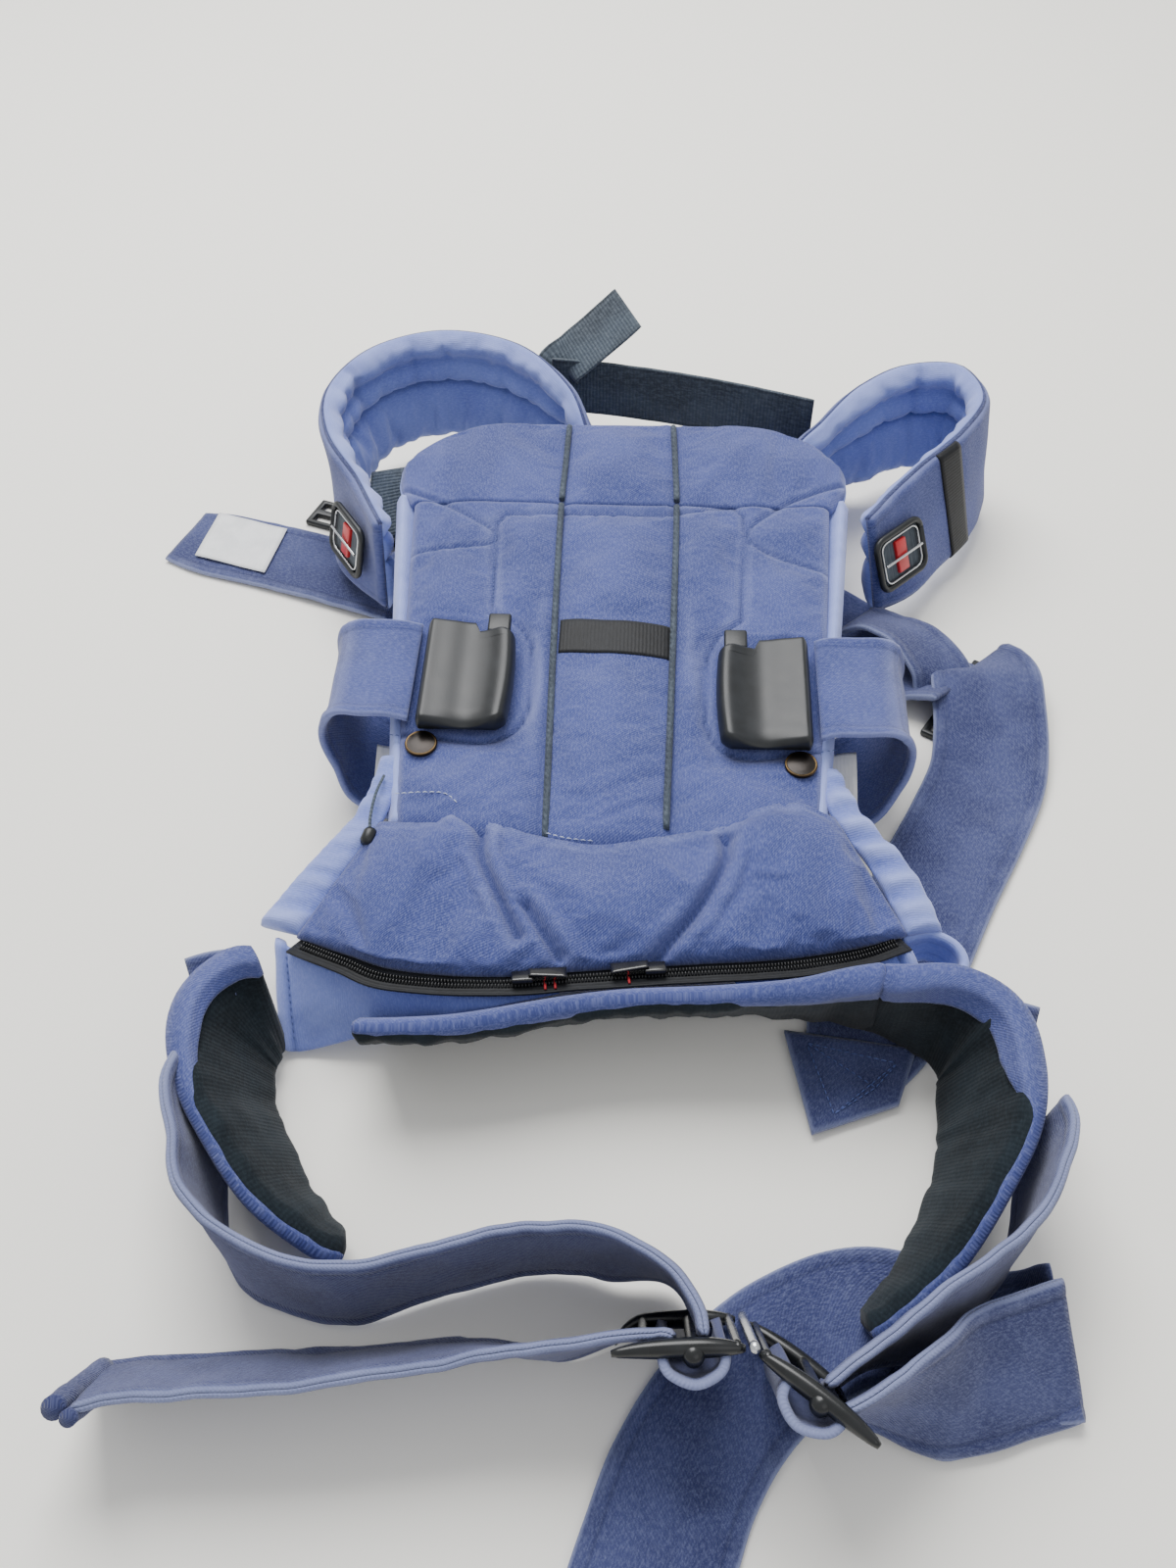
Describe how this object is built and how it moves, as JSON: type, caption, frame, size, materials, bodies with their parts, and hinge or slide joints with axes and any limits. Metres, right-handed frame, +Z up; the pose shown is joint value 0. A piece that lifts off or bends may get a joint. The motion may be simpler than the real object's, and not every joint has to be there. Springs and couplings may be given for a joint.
{
  "type": "front carrier",
  "caption": "Soft denim front carrier laid flat: padded panel with fold-down head support, seat, looped shoulder straps, side buckles and a buckled waist belt.",
  "frame": {"origin": "middle of the carrier's footprint, on the surface it lies on", "axes": "+Z up from the surface, +Y from the waist belt towards the head support, +X to the viewer's right when the front panel faces up"},
  "size_m": [0.5251, 0.7428, 0.1148],
  "materials": {
    "denim": "matt twill",
    "lining_cotton": "matt brushed cotton",
    "black_mesh": "matt mesh",
    "black_webbing": "matt woven webbing",
    "black_cord": "matt braided cord",
    "black_label": "matt woven label",
    "zip_tape": "matt woven tape",
    "zip_coil": "satin nylon coil",
    "zip_metal": "gloss black enamel",
    "black_plastic": "satin moulded",
    "red_plastic": "gloss moulded",
    "steel": "polished wire",
    "bronze_metal": "dark bronze with worn rim"
  },
  "bodies": {
    "carrier": {"back_strap": "black_webbing", "back_strap_tail": "black_webbing", "belt_centre_pad": "black_mesh", "belt_centre_shell": "denim", "belt_left_pad": "black_mesh", "belt_left_shell": "denim", "belt_right_pad": "black_mesh", "belt_right_shell": "denim", "buckle_base_left": "black_plastic", "buckle_base_right": "black_plastic", "buckle_pins": "steel", "buckle_strap_left": "denim", "buckle_strap_right": "denim", "chest_lining": "lining_cotton", "chest_panel": "denim", "chest_piping": "black_cord", "cross_band_left": "denim", "cross_band_right": "denim", "front_label": "black_label", "height_frame_left": "black_plastic", "height_frame_right": "black_plastic", "height_rails": "steel", "ladder_lock_left": "black_plastic", "ladder_lock_right": "black_plastic", "leg_gusset_left": "lining_cotton", "leg_gusset_right": "lining_cotton", "seat_panel": "denim", "seat_zip_tape": "zip_tape", "shoulder_label": "black_label", "shoulder_left_lining": "lining_cotton", "shoulder_left_shell": "denim", "shoulder_right_lining": "lining_cotton", "shoulder_right_shell": "denim", "side_gusset_left": "lining_cotton", "side_gusset_right": "lining_cotton", "snap_caps": "bronze_metal", "snap_studs": "steel", "tail_left": "denim", "tail_right": "denim", "waist_buckle_left": "black_plastic", "waist_hook_pin": "steel", "waist_loop_left": "denim", "waist_strap_left": "denim", "waist_strap_right": "denim", "waist_tail_left": "denim", "waist_tail_right": "denim", "zip_teeth": "zip_coil"},
    "head_support": {"head_piping": "black_cord", "head_support": "denim", "head_support_lining": "lining_cotton"},
    "cover_left": {"buckle_cover_left": "black_plastic"},
    "cover_right": {"buckle_cover_right": "black_plastic"},
    "tab_left": {"release_tab_left": "black_plastic"},
    "tab_right": {"release_tab_right": "black_plastic"},
    "height_slider_left": {"height_slider_left": "red_plastic"},
    "height_slider_right": {"height_slider_right": "red_plastic"},
    "zip_slider_left": {"zip_slider_left": "zip_metal"},
    "zip_slider_right": {"zip_slider_right": "zip_metal"},
    "waist_buckle_right": {"waist_buckle_right": "black_plastic", "waist_loop_right": "denim"}
  },
  "joints": [
    {"name": "head_support_fold", "type": "hinge", "parent": "carrier", "child": "head_support", "pos_m": [0.0237, 0.20299, 0.0721], "axis": [1, 0, 0], "range_deg": [0, 150]},
    {"name": "cover_left_lift", "type": "hinge", "parent": "carrier", "child": "cover_left", "pos_m": [-0.0725, 0.06051, 0.06759], "axis": [0, -0.9983, -0.0583], "range_deg": [0, 20]},
    {"name": "cover_right_lift", "type": "hinge", "parent": "carrier", "child": "cover_right", "pos_m": [0.1224, 0.05153, 0.06707], "axis": [0, 0.9983, 0.0583], "range_deg": [0, 20]},
    {"name": "release_tab_left_press", "type": "slide", "parent": "cover_left", "child": "tab_left", "axis": [0, -0.9983, -0.0583], "range_m": [0, 0.004], "stiffness_N_per_m": 300},
    {"name": "release_tab_right_press", "type": "slide", "parent": "cover_right", "child": "tab_right", "axis": [0, -0.9983, -0.0583], "range_m": [0, 0.004], "stiffness_N_per_m": 300},
    {"name": "height_left_slide", "type": "slide", "parent": "carrier", "child": "height_slider_left", "axis": [-0.5423, 0.8402, 0.0048], "range_m": [-0.01, 0.01]},
    {"name": "height_right_slide", "type": "slide", "parent": "carrier", "child": "height_slider_right", "axis": [0.7019, 0.7122, 0.0041], "range_m": [-0.01, 0.01]},
    {"name": "zip_left_open", "type": "slide", "parent": "carrier", "child": "zip_slider_left", "axis": [-0.9955, -0.0936, -0.0148], "range_m": [0, 0.036]},
    {"name": "zip_right_open", "type": "slide", "parent": "carrier", "child": "zip_slider_right", "axis": [0.9941, 0.1089, -0.0024], "range_m": [0, 0.036]},
    {"name": "waist_buckle_swivel", "type": "hinge", "parent": "carrier", "child": "waist_buckle_right", "pos_m": [0.0867, -0.2867, 0.038], "axis": [0, 0, 1], "range_deg": [-12, 5]}
  ]
}
